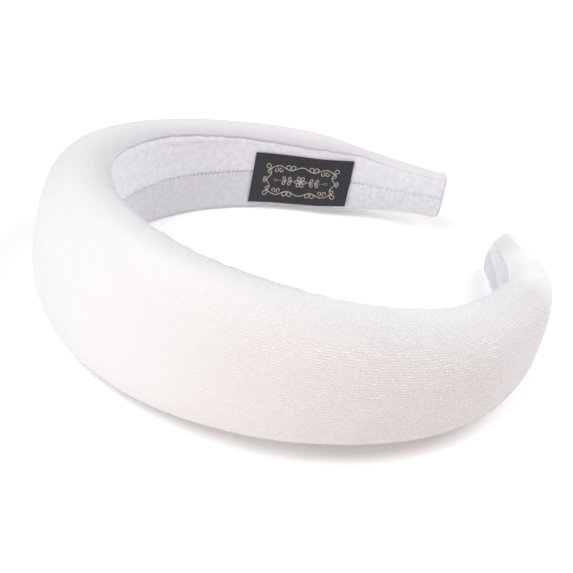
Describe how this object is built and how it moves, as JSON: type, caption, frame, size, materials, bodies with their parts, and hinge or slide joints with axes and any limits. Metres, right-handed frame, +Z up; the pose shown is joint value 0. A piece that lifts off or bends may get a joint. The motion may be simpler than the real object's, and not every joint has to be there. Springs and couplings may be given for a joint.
{
  "type": "padded headband",
  "caption": "Puffed velvet headband, wide at the crown and tapering to thin open ends, with a seamed head side and a small woven label.",
  "frame": {"origin": "middle of the footprint, on the surface that the band lies on", "axes": "+Z up, +Y from the crown to the open ends, +X towards the arm without the label"},
  "size_m": [0.148, 0.1502, 0.0405],
  "materials": {
    "cover_velvet": "white knitted stretch velvet with a short pile",
    "facing_velvet": "the same white velvet, flattened on the head side",
    "label_weave": "dark satin woven label with a pale woven ornament"
  },
  "bodies": {
    "root": {"padded_cover": "cover_velvet", "upper_facing": "facing_velvet", "lower_facing": "facing_velvet", "woven_label": "label_weave"}
  },
  "joints": []
}
